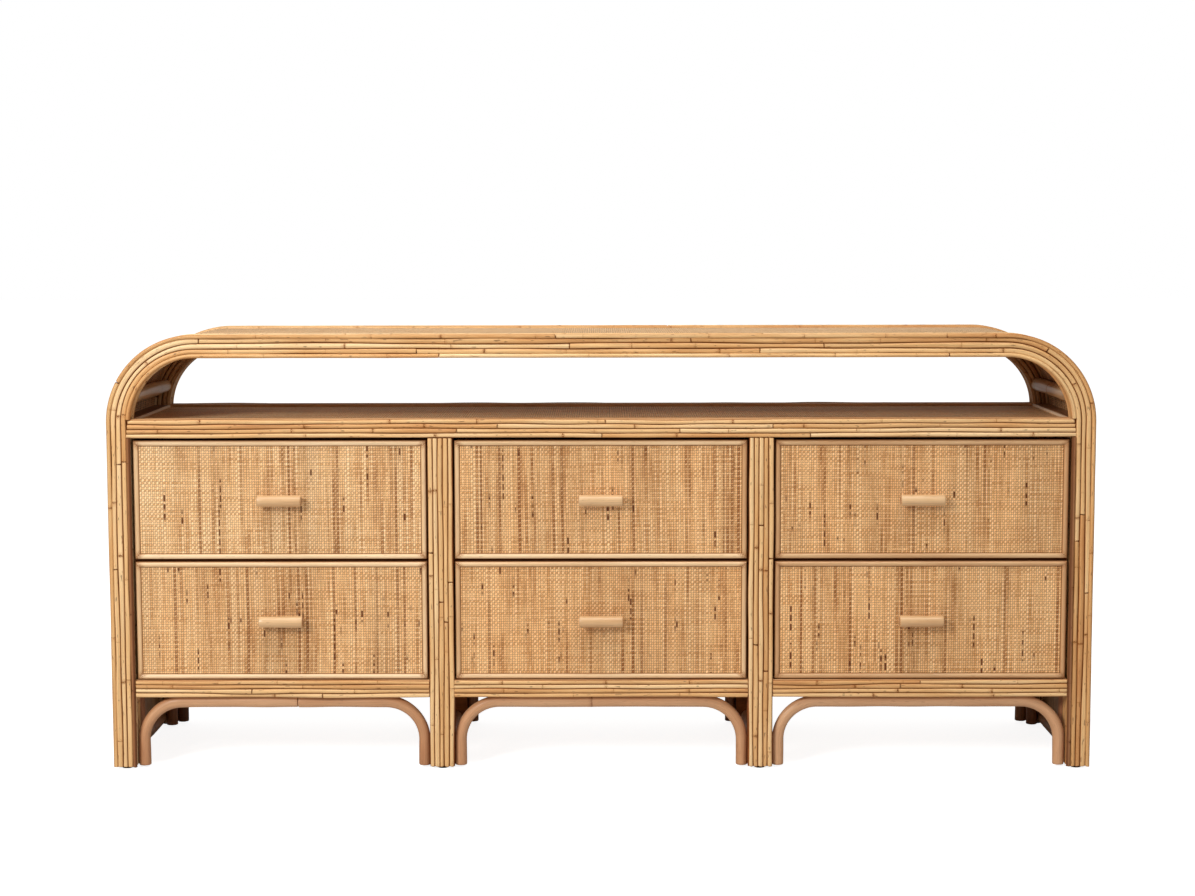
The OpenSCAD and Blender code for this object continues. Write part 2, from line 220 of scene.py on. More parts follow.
class LinePath:
    """A straight line from a to b. The section's axes are given."""

    def __init__(self, a, b, first, second):
        self.a, self.b = np.array(a, float), np.array(b, float)
        self.first, self.second = np.array(first, float), np.array(second, float)
        self.length = float(np.linalg.norm(self.b - self.a))
        self.bends = ()

    def at(self, s):
        t = np.asarray(s, float)[:, None] / self.length
        n = len(t)
        return self.a + (self.b - self.a) * t, np.tile(self.first, (n, 1)), np.tile(self.second, (n, 1))


def wobble(s, scale, amount, seed):
    """A smooth random line: a few sines of random phase."""
    local = default_rng(seed)
    total = np.zeros_like(s)
    for k in range(4):
        height, phase = local.normal(), local.uniform(0, 6.3)
        total += height * np.sin(s / scale * (1.0 + 0.83 * k) * 2 * pi + phase) / (1 + 0.6 * k)
    return total * amount * 0.6


def bell(distance, width):
    """1 where the distance is 0, falling to 0 within about two widths."""
    return np.exp(-(distance / width) ** 2)


SHOULDER = 0.84  # under 1, a split strip's section is squarer than a half round
CROWN = 0.98  # its height over its half width
ROW_BOW = 0.45 * MM
EDGE_WANDER = 0.9 * MM
SCAR_WIDTH, BOLD_SCAR_MM = 0.9 * MM, (1.4, 2.4)

# A node on a cane: rings close together carry its scar, and the cane swells a little on one side of it.
NODE_RINGS = np.array([-9.0, -5.0, -2.2, -0.9, -0.35, 0.0, 0.35, 0.9, 2.2, 5.0, 10.0]) * MM


def cane(shape, path, s0, s1, offset, radius, turn, half, step=9 * MM, seed=0, node_every=(0.10, 0.28),
         sides=10, cap=0.6 * MM, tint=None, sway=0.3 * MM, skew=0.9 * MM, node_height=0.26 * MM, slot=0,
         swell_by=0.035, row=None, side_shade=0.0):
    """One length of cane along a path, from s0 to s1.

    offset is the section's centre, turn the way its crown faces, and half makes it a half round. row is
    (seed, number) in a row of canes: the row bows as one, and the edges that neighbours share wander."""
    local = default_rng(seed)
    nodes = []
    at = s0 + local.uniform(0.02, node_every[1])
    while at < s1 - 0.012:
        nodes.append(at)
        at += local.uniform(*node_every)
    first_ring, last_ring = s0 + 4 * cap, s1 - 4 * cap  # between the rings that round the two ends
    end_rings = np.array([0, 0.35 * cap, cap, 3 * cap])
    rings = [s0 + end_rings, s1 - end_rings,
             np.linspace(first_ring, last_ring, max(2, int((s1 - s0) / step)))]
    for b0, b1 in path.bends:
        lo, hi = max(b0, first_ring), min(b1, last_ring)
        if hi > lo:
            rings.append(np.linspace(lo, hi, max(2, int((hi - lo) / (step * 0.55)))))
    for n in nodes:
        rings.append(np.clip(n + NODE_RINGS, first_ring, last_ring))
    s = np.unique(np.round(np.concatenate(rings), 6))
    s = s[(s >= s0 - 1e-9) & (s <= s1 + 1e-9)]

    end = np.minimum(s - s0, s1 - s)
    round_off = np.sqrt(np.clip(1 - (1 - np.clip(end / cap, 0, 1)) ** 2, 0, 1))
    size = radius * (0.72 + 0.28 * round_off) * (1 + wobble(s, 0.27, swell_by, seed + 1))
    if row:
        edge_seed = row[0] + 10 + row[1]
        edge_here, edge_next = (wobble(s, 0.62, EDGE_WANDER, edge_seed + k) for k in (0, 1))
        size = size + (edge_here - edge_next) / 2
    swell = np.zeros_like(s)
    scar = np.zeros_like(s)
    for n in nodes:
        d = s - n
        side = 1.0 if local.random() < 0.5 else -1.0
        bold = local.random() < 0.4
        strength = 1.0 if bold else local.uniform(0.35, 0.85)
        scar_width = local.uniform(*BOLD_SCAR_MM) * MM if bold else SCAR_WIDTH
        swell += node_height * strength * np.exp(-(np.abs(d) / (6 * MM))) * np.where(d * side > 0, 1.0, 0.45)
        swell -= 0.16 * MM * strength * bell(d, 0.5 * MM)
        scar = np.maximum(scar, strength * bell(d, scar_width))
        scar = np.maximum(scar, 0.4 * strength * bell(d, 6 * MM) * (d * side > 0))
    scar = np.maximum(scar, 0.9 * bell(end, 0.7 * MM))
    size = size + swell

    centre, first, second = path.at(s)
    c, k = math.cos(turn), math.sin(turn)
    up = first * c + second * k  # the way the crown faces
    across = -first * k + second * c
    base = centre + first * offset[0] + second * offset[1]
    shift = wobble(s, 0.5, sway, seed + 2)
    if row:
        shift = shift + wobble(s, 0.9, ROW_BOW, row[0] - 1) + (edge_here + edge_next) / 2
    base = base + across * shift[:, None]

    angles = np.linspace(-pi / 2, pi / 2, sides + 1) if half else np.linspace(-pi, pi, sides, endpoint=False)
    sin, cos = np.sin(angles), np.cos(angles)
    wide, high, crown = sin, cos, 1.0
    if half:
        wide, high, crown = np.sign(sin) * np.abs(sin) ** SHOULDER, np.abs(cos) ** SHOULDER, CROWN
    # the two ends are cut a little askew
    lean = sum(local.uniform(-1, 1) * skew * np.exp(-to_end / (4 * MM)) for to_end in (s - s0, s1 - s))
    along = np.cross(across, up)
    ring = (base[:, None, :] + across[:, None, :] * (size[:, None] * wide)[..., None]
            + up[:, None, :] * (size[:, None] * high * crown)[..., None]
            + along[:, None, :] * (lean[:, None] * sin)[..., None])
    rows, cols = ring.shape[:2]

    def spread(values):
        return np.broadcast_to(values, (rows, cols))

    grain = np.stack([spread(angles * radius), spread(s[:, None]), spread((seed % 977) * 1.37)], -1)
    # painted shade: darker towards a strip's edges, in the grooves between neighbours, and, by a given
    # amount, at a round cane's sides
    groove = spread(np.abs(sin) ** 5 * (1.0 if half else side_shade))
    shown = 1 - 0.25 * np.abs(sin)
    value = local.uniform() if tint is None else tint
    if callable(value):
        value = spread(value(s)[:, None])
    shape.add(ring, swept_faces(rows, cols, not half, inside_out=True), slot, grain=grain, tint=value,
              mark=scar[:, None] * shown[None], groove=groove)


def cut_lengths(s0, s1, shortest, longest, gap, seed):
    """Splits s0..s1 into butted lengths of cane, each with a small gap to the next."""
    local = default_rng(seed)
    cuts, at = [s0], s0 + local.uniform(0.25, 1.0) * longest
    while at < s1 - shortest * 0.6:
        cuts.append(at)
        at += local.uniform(shortest, longest)
    cuts.append(s1)
    return [(a + (gap / 2 if i else 0), b - (gap / 2 if i < len(cuts) - 2 else 0))
            for i, (a, b) in enumerate(zip(cuts[:-1], cuts[1:]))]


# --- Materials ---


class Nodes:
    """A short way to write a material's node tree."""

    def __init__(self, name):
        self.material = bpy.data.materials.new(name)
        self.material.use_nodes = True
        self.tree = self.material.node_tree
        self.shader = self.tree.nodes["Principled BSDF"]

    def new(self, kind, **settings):
        node = self.tree.nodes.new(kind)
        for key, value in settings.items():
            setattr(node, key, value)
        return node

    def plug(self, value, socket):
        if isinstance(value, bpy.types.NodeSocket):
            self.tree.links.new(value, socket)
        elif value is not None:
            socket.default_value = value

    def plug_named(self, node, **values):
        """Each key stands for a socket's name: base_color for Base Color."""
        for key, value in values.items():
            self.plug(value, node.inputs[key.replace("_", " ").title().replace("Ior", "IOR")])

    def plug_all(self, values, node):
        for value, socket in zip(values, node.inputs):
            self.plug(value, socket)
        return node.outputs[0]

    def attribute(self, name, kind="Fac"):
        return self.new("ShaderNodeAttribute", attribute_name=name, attribute_type="GEOMETRY").outputs[kind]

    def place(self):
        return self.new("ShaderNodeTexCoord").outputs["Object"]

    def math(self, op, a, b=None, c=None, clamp=False):
        return self.plug_all((a, b, c), self.new("ShaderNodeMath", operation=op, use_clamp=clamp))

    def add(self, a, b):
        return self.math("ADD", a, b)

    def times(self, a, b, clamp=False):
        return self.math("MULTIPLY", a, b, clamp=clamp)

    def times_add(self, a, b, c, clamp=False):
        return self.math("MULTIPLY_ADD", a, b, c, clamp)

    def split(self, vector):
        node = self.new("ShaderNodeSeparateXYZ")
        self.plug(vector, node.inputs[0])
        return node.outputs[0], node.outputs[1], node.outputs[2]

    def join(self, x, y, z):
        return self.plug_all((x, y, z), self.new("ShaderNodeCombineXYZ"))

    def scaled(self, vector, scale):
        return self.plug_all((vector, scale), self.new("ShaderNodeVectorMath", operation="MULTIPLY"))

    def noise(self, vector, detail, roughness, distortion=0.0):
        node = self.new("ShaderNodeTexNoise")
        self.plug_named(node, vector=vector, scale=1.0, detail=detail, roughness=roughness,
                        distortion=distortion)
        return node.outputs["Fac"]

    def ramp(self, value, *stops):
        """Each stop is (place, colour or grey)."""
        node = self.new("ShaderNodeValToRGB")
        elements = node.color_ramp.elements
        while len(elements) > 1:
            elements.remove(elements[-1])
        for i, (place, colour) in enumerate(stops):
            element = elements[0] if i == 0 else elements.new(place)
            element.position = place
            element.color = (*colour, 1) if hasattr(colour, "__len__") else (colour, colour, colour, 1)
        self.plug(value, node.inputs[0])
        return node.outputs[0]

    def mix(self, factor, a, b, blend="MIX"):
        node = self.new("ShaderNodeMix", data_type="RGBA", blend_type=blend)
        self.plug(factor, node.inputs[0])
        for value, socket in ((a, node.inputs[6]), (b, node.inputs[7])):
            self.plug((*value, 1) if hasattr(value, "__len__") else value, socket)
        return node.outputs[2]

    def shade(self, colour, value, stops, amount=1.0):
        """Multiplies a colour by a ramp of greys."""
        return self.mix(amount, colour, self.ramp(value, *stops), "MULTIPLY")

    def bump(self, height, strength, distance, normal=None):
        node = self.new("ShaderNodeBump")
        self.plug_named(node, strength=strength, distance=distance, height=height, normal=normal)
        return node.outputs[0]

    def finish(self, colour, roughness, normal, **settings):
        self.plug_named(self.shader, base_color=colour, roughness=roughness, normal=normal, **settings)
        return self.material


def tones(text):
    """Colours from sRGB values written as in rrggbb, with spaces between them."""
    return tuple(tuple(c / 255 / 12.92 if c <= 10 else ((c / 255 + 0.055) / 1.055) ** 2.4
                       for c in bytes.fromhex(word)) for word in text.split())


def cane_material(name, stops, scar_and_groove_shade, streak=0.5, shine=0.42, coat=0.08, fleck=0.6, vary=0.45):
    """Split or peeled cane. stops are its colours from the darkest canes to the lightest, the two dark
    colours after them those of its scars and of the painted shade in its grooves, and vary is how much canes
    differ."""
    n = Nodes(name)
    stops, (scar, groove_shade_colour) = tones(stops), tones(scar_and_groove_shade)
    grain = n.attribute("grain", "Vector")
    tint, mark, groove = (n.attribute(a) for a in ("tint", "mark", "groove"))
    patches = n.noise(n.scaled(grain, (60, 6, 1)), 3.0, 0.55)
    fibres = n.noise(n.scaled(grain, (2600, 26, 1)), 3.0, 0.6)
    lines = n.noise(n.scaled(grain, (900, 5, 1)), 2.0, 0.5)
    tone = n.add(n.times(patches, 0.55), n.times_add(tint, vary, 0.225 - 0.5 * vary))
    colour = n.ramp(tone, *zip((0.18, 0.34, 0.5, 0.72), stops))
    colour = n.shade(colour, lines, [(0.32, 0.56), (0.5, 1.0)], streak)
    colour = n.shade(colour, fibres, [(0.3, 0.80), (0.62, 1.06)], 0.8)
    # small dark flecks, drawn out along the fibres
    spots = n.noise(n.scaled(grain, (420, 75, 1)), 1.0, 0.4)
    colour = n.mix(n.times(n.ramp(spots, (0.68, 0.0), (0.74, 1.0)), fleck), colour, scar)
    ragged = n.noise(n.scaled(grain, (700, 900, 1)), 2.0, 0.6)
    mark = n.times(mark, n.ramp(ragged, (0.40, 0.1), (0.54, 1.0)), clamp=True)
    # a scar and the painted groove shade both go through a warm brown before their darkest tone
    warm = tuple(math.sqrt(a * b) for a, b in zip(stops[0], groove_shade_colour))
    for amount, dark in ((mark, scar), (groove, groove_shade_colour)):
        colour = n.mix(n.ramp(amount, (0.05, 0.0), (0.5, 0.95)), colour, warm)
        colour = n.mix(n.ramp(amount, (0.45, 0.0), (0.95, 0.95)), colour, dark)
    rough = n.ramp(n.add(fibres, n.times(mark, 0.4)), (0.3, shine - 0.07), (0.8, shine + 0.16))
    rough = n.times_add(n.math("MAXIMUM", groove, mark), 0.4, rough, clamp=True)
    normal = n.bump(n.add(fibres, n.times(lines, 1.4)), 0.55, 0.16 * MM)
    return n.finish(colour, rough, normal, specular_ior_level=0.34, ior=1.45, coat_weight=coat,
                    coat_roughness=0.2)


# A plain weave whose warp shows for more of its length than the weft does, and whose crossings lean
WARP_SHOWS = 0.57
LEAN = -0.35


def weave_material(name, warp_stops, weft_stops, streak_dark, streaks=1.0):
    """Woven matting. The weave attribute counts warps across, wefts along. Stops run from dark to light."""
    n = Nodes(name)
    u, v, seed = n.split(n.attribute("weave", "Vector"))
    iu, iv = n.math("FLOOR", u), n.math("FLOOR", v)
    fu = n.math("SUBTRACT", u, iu)
    far = n.times(seed, 37.0)

    # 0 in the middle of a length of warp that lies on top, 1 in the middle of the weft that crosses it
    place = n.add(n.add(v, iu), n.times_add(fu, LEAN, -0.5 * LEAN - 0.5))
    from_warp = n.math("ABSOLUTE", n.math("SUBTRACT", n.math("FLOORED_MODULO", place, 2.0), 1.0))

    def cloth(across, along, detail=2.0, roughness=0.6, where=far):
        """Noise over the whole sheet."""
        return n.noise(n.join(n.times(u, across), n.times(v, along), where), detail, roughness)

    def tone(strand, along, scale, salt):
        """Noise that differs from strand to strand and changes along each."""
        return n.noise(n.join(n.times_add(strand, 5.37, salt), n.times(along, scale), far), 2.0, 0.55)

    # each warp keeps its own tone over most of its length, a few are darker, and neighbours share a little
    odd = n.new("ShaderNodeTexWhiteNoise", noise_dimensions="2D")
    n.plug(n.join(iu, far, 0.0), odd.inputs["Vector"])
    few = n.math("POWER", odd.outputs["Value"], 9.0)
    own = tone(iu, v, 0.022, 11.3)
    changing = tone(iu, v, 0.12, 93.7)
    shared = cloth(0.17, 0.012, 3.0)
    warp_tone = n.add(n.times_add(own, 0.9, n.times(few, -0.44)),
                      n.times_add(changing, 0.4, n.times_add(shared, 0.5, -0.38)))
    warp = n.ramp(warp_tone, *zip((0.14, 0.34, 0.48, 0.66), tones(warp_stops)))
    # the darker warps are thicker, so more of them shows
    shows = n.ramp(warp_tone, (0.15, WARP_SHOWS + 0.12), (0.5, WARP_SHOWS))
    over = n.times_add(n.math("SUBTRACT", shows, from_warp), 14.0, 0.5, clamp=True)
    # a few warps have dark lengths: slim strands that run over three wefts and under one
    off_warp = n.math("ABSOLUTE", n.times_add(fu, 2.0, -1.0))
    dark = n.ramp(tone(iu, v, 0.036, 143.1), (0.65, 0.0), (0.68, 1.0))
    dash = n.ramp(tone(iu, v, 0.2, 201.1), (0.40, 0.1), (0.50, 1.0))
    over_three = n.math("FLOORED_MODULO", n.times_add(iu, 1.7, v), 4.0)
    over_three = n.math("LESS_THAN", n.math("ABSOLUTE", n.math("SUBTRACT", over_three, 2.0)), 1.4)
    strand = n.times(over_three, n.ramp(off_warp, (0.5, 1.0), (0.9, 0.0)))
    strand = n.times(strand, n.times(n.times(dark, dash), streaks), clamp=True)
    weft = n.ramp(tone(iv, u, 0.045, 51.9), *zip((0.36, 0.60), tones(weft_stops)))
    weft = n.mix(n.ramp(warp_tone, (0.2, 0.35), (0.45, 0.0)), weft, warp)
    band = cloth(0.06, 0.008, 2.0, 0.5, n.add(far, 5.0))
    colour = n.mix(strand, n.mix(over, weft, warp), *tones(streak_dark))
    colour = n.shade(colour, band, [(0.32, 0.88), (0.62, 1.05)])

    # height of the strand that is on top, 1 at its crown and 0 at its edges
    def fall(value, sharp):
        return n.math("SUBTRACT", 1.0, n.math("POWER", n.math("MINIMUM", value, 1.0), sharp))

    warp_height = n.times(fall(off_warp, 2.4), fall(n.times(from_warp, 1 / WARP_SHOWS), 2.6))
    off_weft = n.times_add(from_warp, -1 / (1 - WARP_SHOWS), 1 / (1 - WARP_SHOWS))
    weft_height = n.times(fall(off_weft, 2.4), fall(off_warp, 3.4))
    height = n.mix(over, weft_height, warp_height)
    # fibres run along the strand on top
    fibre = n.mix(over, cloth(0.5, 9.0), cloth(9.0, 0.5))
    colour = n.shade(colour, fibre, [(0.3, 0.76), (0.65, 1.10)], 0.8)
    # painted shade: the colour darkens where the strand on top dips at its edges, between crossings
    colour = n.shade(colour, height, [(0.0, 0.34), (0.35, 0.78), (0.85, 1.10)])
    # a sheet's own tone
    colour = n.mix(n.attribute("tint"), colour, n.mix(1.0, colour, (1.02, 1.11, 1.24), "MULTIPLY"))
    roughness = n.ramp(fibre, (0.3, 0.54), (0.7, 0.74))
    normal = n.bump(height, 0.8, 0.45 * MM)
    normal = n.bump(fibre, 0.35, 0.12 * MM, normal)
    return n.finish(colour, roughness, normal, specular_ior_level=0.3)


def board_material(name, light_dark, scale, rough=0.5, axis="x", bead=None, coat=0.05, specular=0.4):
    """Plywood or solid board: figure stretched along the grain, with fine pores, by the frame's own axes.
    bead is (x, colour): nearer to the middle than x the wood is a bead of another colour."""
    n = Nodes(name)
    light, dark = tones(light_dark)
    place = n.place()
    stretch = {"x": (1.2, 14, 14), "y": (14, 1.2, 14), "z": (14, 14, 1.2)}[axis]
    figure = n.noise(n.scaled(place, tuple(v * scale for v in stretch)), 5.0, 0.6, 1.1)
    pores = n.noise(n.scaled(place, tuple(v * scale * 42 for v in stretch)), 3.0, 0.6)
    between = tuple((a + b) / 2 for a, b in zip(light, dark))
    colour = n.ramp(figure, (0.3, dark), (0.5, between), (0.68, light))
    if bead:
        inside = n.math("LESS_THAN", n.math("ABSOLUTE", n.split(place)[0]), bead[0])
        colour = n.mix(inside, colour, bead[1])
    colour = n.shade(colour, pores, [(0.3, 0.72), (0.6, 1.05)], 0.6)
    roughness = n.ramp(pores, (0.3, rough + 0.14), (0.7, rough - 0.05))
    normal = n.bump(n.add(pores, figure), 0.35, 0.25 * MM)
    return n.finish(colour, roughness, normal, specular_ior_level=specular, coat_weight=coat,
                    coat_roughness=0.4)


def grained_material(name, scale, first, dark, light, rough, bump, depth, **settings):
    """Plastic with a fine mottle, or brushed metal."""
    n = Nodes(name)
    grain = n.noise(n.scaled(n.place(), scale), 3.0, 0.6)
    colour = n.mix(n.ramp(grain, (first, 0.0), (0.7, 1.0)), dark, light)
    roughness = n.ramp(grain, (0.3, rough[0]), (0.7, rough[1]))
    return n.finish(colour, roughness, n.bump(grain, bump, depth), **settings)


# Each cane's or weave's stops, then its scar and painted groove shade colours or its weft's stops and dark
# streaks
M_STRIP = cane_material("split_cane", "c4864e d8a266 e8bb81 f6d3a0", "54280c 7a3c0c", vary=0.34)
M_PEELED = cane_material(
    "peeled_pole", "a8724c bc865e ce9a70 daaa80",
    "7c4e30 784c32", streak=0.36, shine=0.40, coat=0.10, fleck=0.25)
# a darker copy of the peeled pole, for the rear braces and the corner poles that stand back in shade: painted
# shade
M_SHADED = cane_material(
    "painted_shade_pole", "744628 8a5634 9c643e ae744c",
    "422414 5c361e", streak=0.4, shine=0.42, coat=0.10, fleck=0.25)
M_PALE = cane_material(
    "pale_moulding", "c89868 d8ae7e e7c192 f3d3a8",
    "74462a 966034", streak=0.30, shine=0.38, coat=0.45, fleck=0.22)
# a darker copy of the split cane, for the inner corner canes beside the drawers: painted shade
M_SHADE_CANE = cane_material("painted_shade_cane", "845430 96623a a87246 b88256", "3c1e0e 603414")
M_WEAVE = weave_material("woven_front", "94582a ce9258 edb67a fccd95", "d0965c eebb82", "683008")
M_SHELL = weave_material("woven_shell", "ce9c6a daaa78 e6b886 f0c696", "e6b684 f4cc9c", "a47042", streaks=0.5)
# the shelf's matting is lighter than the shell's: painted light on the shelf
M_SHELF = weave_material("woven_shelf", "e4a870 f6be84 fdce96 fedcaa", "f8c48e fed8a6", "aa6e40", streaks=0.5)
M_LINING = weave_material(
    "woven_lining", "925c30 b87e4a d8a066 f0bc82",
    "c8905a e4b078", "5a341a", streaks=0.8)
# the front boards are a darker red-brown so that the gaps round the drawer fronts look dark and warm: painted
# shade
M_FRONT = board_material("front_board", "b07648 8e5832", 2.2)
M_BOX = board_material("drawer_box", "deb88a c49868", 2.6)
M_GLIDE = grained_material("glide", (900, 900, 900), 0.35, (0.008, 0.007, 0.006), (0.0192, 0.0168, 0.0144),
                           (0.45, 0.62), 0.3, 0.1 * MM, specular_ior_level=0.15)
M_STEEL = grained_material("steel", (1500, 200, 1500), 0.3, (0.496, 0.48, 0.456), (0.62, 0.60, 0.57),
                           (0.26, 0.42), 0.2, 0.05 * MM, metallic=1.0)

# --- The two bent frames: sixteen canes each, in butted lengths ---

BUTT_GAP = 0.9 * MM


def bent_frame(name, node, front):
    shape = Shape()
    y = FRONT_Y + FRAME_W / 2 if front else REAR_Y - FRAME_W / 2
    path = ArchPath(LEG_X, ARCH_TOP, BEND_R, GLIDE_H, y)
    seed = 1000 if front else 5000
    # the light makes the canes look lighter at some places than at others
    rise, fall = path.leg + path.arc, path.length - path.leg
    places = [0, path.leg, rise, path.length / 2, fall - path.arc, fall, path.length - path.leg / 2]
    lighter = [-0.15, 0.0, 0.24, -0.15, -0.5, -0.3, -0.35]

    def toned(number):
        own = default_rng(number + 3).uniform()
        return lambda s: own + np.interp(s, places, lighter)

    for face in range(4):
        turn = pi / 2 * (face + 1)  # face 0 is the back, then inside, front, outside
        c, k = math.cos(turn - pi / 2), math.sin(turn - pi / 2)
        for i in (-1, 0, 1):
            a, b = i * STRIP_PITCH, POLE_SIDE / 2
            offset = (a * c - b * k, a * k + b * c)
            seed += 37
            for part, (s0, s1) in enumerate(cut_lengths(0, path.length, 0.42, 1.15, BUTT_GAP, seed)):
                number = seed * 7 + part
                cane(shape, path, s0, s1, offset, STRIP_R, turn, True, seed=number, tint=toned(number),
                     row=(70 * face + 300, i))
        a = b = POLE_SIDE / 2 + CANE_OFF
        offset = (a * c - b * k, a * k + b * c)
        seed += 41
        inner_front = offset[0] < 0 and (offset[1] < 0) == front
        spans = [(0, path.length)]
        if inner_front:  # the shelf rail's strips run over this cane
            low, high = RAIL_Z - GLIDE_H - 0.3 * MM, RAIL_TOP - GLIDE_H + 0.6 * MM
            spans = [(0, low), (high, path.length - high), (path.length - low, path.length)]
        for j, (start, stop) in enumerate(spans):
            # these canes take the darker cane material and darker sides: painted shade beside the drawers
            shaded = inner_front and front and j != 1  # beside the drawers
            for part, (s0, s1) in enumerate(cut_lengths(start, stop, 0.5, 1.3, BUTT_GAP, seed + j)):
                number = seed * 7 + part + 60 * j
                cane(shape, path, s0, s1, offset, CANE_D / 2, turn + pi / 4, False, sides=12,
                     seed=number, tint=toned(number), node_height=0.15 * MM, sway=0.15 * MM,
                     slot=int(shaded), side_shade=0.9 if shaded else 0.25)
    shape.build(name, [M_STRIP, M_SHADE_CANE], node, "cane_strips")


bent_frame("front_frame_canes", "front_arch_strips", True)
bent_frame("rear_frame_canes", "rear_arch_strips", False)

# --- Rail and post strips ---


def line(start, stop, axis):
    """A line along an axis, for a section whose first axis is X, or Z where the line runs along X."""
    first = (0, 0, 1) if axis == 0 else (1, 0, 0)
    second = (0, 0, 1) if axis == 1 else (0, 1, 0)
    return LinePath(start, stop, first, second)


def strip(shape, path, radius, facing, seed, shortest, longest, **how):
    """A half-round strip in butted lengths, whose flat side lies in the path's plane of constant y."""
    turn = pi / 2 if facing > 0 else -pi / 2
    for part, (s0, s1) in enumerate(cut_lengths(0, path.length, shortest, longest, BUTT_GAP, seed)):
        cane(shape, path, s0, s1, (0, 0), radius, turn, True, seed=seed * 11 + part, **how)


RAIL_STRIPS, POST_STRIPS = 4, 5
STRIP_SEED = 53
rails, posts = Shape(), Shape()
seed = 20000
for facing, y in ((-1, FRONT_Y + COVER), (1, REAR_Y - COVER)):
    pitch = (RAIL_TOP - RAIL_Z) / RAIL_STRIPS
    for i in range(RAIL_STRIPS):
        seed += STRIP_SEED
        reach = LEG_IN + CANE_D - 1.2 * MM * i  # each strip stops a little short of the one under it
        z = RAIL_Z + (i + 0.5) * pitch
        strip(rails, line((-reach, y, z), (reach, y, z), 0), pitch / 2 - HALF_GAP, facing, seed, 0.35, 0.95,
              row=(900 + facing, facing * i))
    pitch = BOTTOM_RAIL_H / RAIL_STRIPS
    for bay in BAYS:
        x0, x1 = bay * PITCH - BAY_W / 2 + END_GAP, bay * PITCH + BAY_W / 2 - END_GAP
        for i in range(RAIL_STRIPS):
            seed += STRIP_SEED
            z = UNDER_RAIL + (i + 0.5) * pitch
            strip(rails, line((x0, y, z), (x1, y, z), 0), pitch / 2 - HALF_GAP, facing, seed, 0.25, 0.8,
                  row=(1100 + 90 * bay, facing * i))
    pitch = POST_W / POST_STRIPS
    for x in (-POST_X, POST_X):
        for i in range(POST_STRIPS):
            seed += STRIP_SEED
            at = x + (i - 2) * pitch
            strip(posts, line((at, y, GLIDE_H), (at, y, RAIL_Z - END_GAP), 2), pitch / 2 - HALF_GAP, facing,
                  seed, 0.2, 0.62, cap=2.2 * MM, tint=default_rng(seed).uniform(0.1, 1.1),
                  row=(1500 + 90 * (x > 0), facing * i))
rails.build("rail_canes", [M_STRIP], "rail_strips", "cane_strips")
posts.build("post_canes", [M_STRIP], "post_strips", "cane_strips")

# --- Bent braces and straight poles ---


def pole(shape, path, radius, seed, s0=0.0, s1=None, **how):
    cane(shape, path, s0, path.length if s1 is None else s1, (0, 0), radius, 0.0, False, seed=seed,
         sides=24, step=7 * MM, cap=1.6 * MM, skew=0.0, node_height=0.32 * MM, **how)


def leg_to_top(path, leg, top):
    """A bent brace's tint along its length: its legs are darker than its top."""
    (rise0, rise1), (fall0, fall1) = path.bends
    places = [rise0 - 0.02, rise1 + 0.04, fall0 - 0.04, fall1 + 0.02]
    return lambda s: np.interp(s, places, [leg, top, top, leg])


def poles(name, material, node, radius, seed, paths):
    shape = Shape()
    for i, path in enumerate(paths):
        pole(shape, path, radius, seed + i)
    shape.build(name, [material], node, "peeled_rattan")


# the rear braces take the darker pole material: painted shade
for name, material, node, y, seed in (
        ("front_braces", M_PEELED, "front_leg_braces", FRONT_Y + BRACE_SETBACK, 31000),
        ("rear_braces", M_SHADED, "rear_leg_braces", REAR_Y - BRACE_SETBACK, 31500)):
    shape = Shape()
    for bay in BAYS:
        path = ArchPath(BAY_W / 2 - BRACE_D / 2 - END_GAP, UNDER_RAIL - BRACE_D / 2 - END_GAP, BRACE_R,
                        GLIDE_H, y, bay * PITCH)
        key = seed + 97 * bay
        lengths = [(key, 0.0, path.length, 0.25 + 0.45 * bay, 0.85)]
        if bay == -1 and y < 0:  # this one is spliced near its middle
            joint = path.length / 2 + 0.026
            lengths = [(key, 0.0, joint - HALF_GAP, 0.05, 0.95),
                       (key + 7, joint + HALF_GAP, path.length, -0.05, 0.7)]
        for number, s0, s1, leg, top in lengths:
            pole(shape, path, BRACE_D / 2, number, s0, s1, tint=leg_to_top(path, leg, top),
                 node_every=(0.5, 0.9))
    shape.build(name, [material], node, "peeled_rattan")

STRETCHER_Z = GLIDE_H + 1 * MM + STRETCHER_R
END_X = HALF_W - 1.5 * MM - STRETCHER_R
poles("floor_stretcher_poles", M_PEELED, "floor_stretchers", STRETCHER_R, 33000,
      [line((x, IN_FRONT, STRETCHER_Z), (x, IN_REAR, STRETCHER_Z), 1)
       for x in (-END_X, -POST_X, POST_X, END_X)])

CORNER_X = END_X - STRETCHER_R - 0.5 * MM - CORNER_POLE_R
CORNER_IN = CORNER_POLE_R + END_GAP
corner_top = span("corner_poles")[1][2]
# the corner poles take the darker pole material: painted shade
poles("corner_pole_set", M_SHADED, "corner_poles", CORNER_POLE_R, 34000,
      [line((x, y, GLIDE_H), (x, y, corner_top), 2)
       for x in (-CORNER_X, CORNER_X) for y in (IN_FRONT + CORNER_IN, IN_REAR - CORNER_IN)])

side_lo, side_hi = span("compartment_side_poles")
SIDE_D = side_hi[2] - side_lo[2]
SIDE_Z = (side_lo[2] + side_hi[2]) / 2
SIDE_X = side_hi[0] - SIDE_D / 2
poles("side_pole_pair", M_PALE, "compartment_side_poles", SIDE_D / 2, 35000,
      [line((x, side_lo[1], SIDE_Z), (x, side_hi[1], SIDE_Z), 1) for x in (-SIDE_X, SIDE_X)])

# --- Foot glides: turned discs with a soft edge ---


